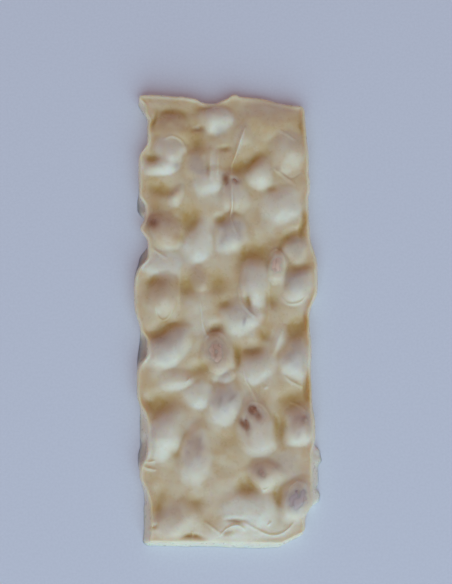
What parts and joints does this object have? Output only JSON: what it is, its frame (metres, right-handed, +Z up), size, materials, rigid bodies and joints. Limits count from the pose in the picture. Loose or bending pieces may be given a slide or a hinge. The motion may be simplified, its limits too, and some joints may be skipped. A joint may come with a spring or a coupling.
{
  "type": "white chocolate bar",
  "caption": "Long hand-poured bar of white chocolate with whole nuts under a thin skin, some of them partly bare, flat underneath.",
  "frame": {"origin": "middle of the flat base, under the centre of the bar's bounding box", "axes": "+Y along the bar's length towards the end with the peaked edge, +X across it to the right as seen from above, +Z up from the base to the lumpy top"},
  "size_m": [0.0822, 0.202, 0.0129],
  "materials": {
    "chocolate": "soft satin sheen, ivory with yellower hollows and greyer skin over the nuts",
    "nut": "matt wrinkled nut skin under a thin milky film"
  },
  "bodies": {
    "root": {"chocolate_bar": "chocolate", "nut_upper_left": "nut", "nut_upper_middle": "nut", "nut_middle_right": "nut", "nut_centre": "nut", "nut_lower_middle": "nut", "nut_lower_right": "nut", "nut_corner": "nut"}
  },
  "joints": []
}
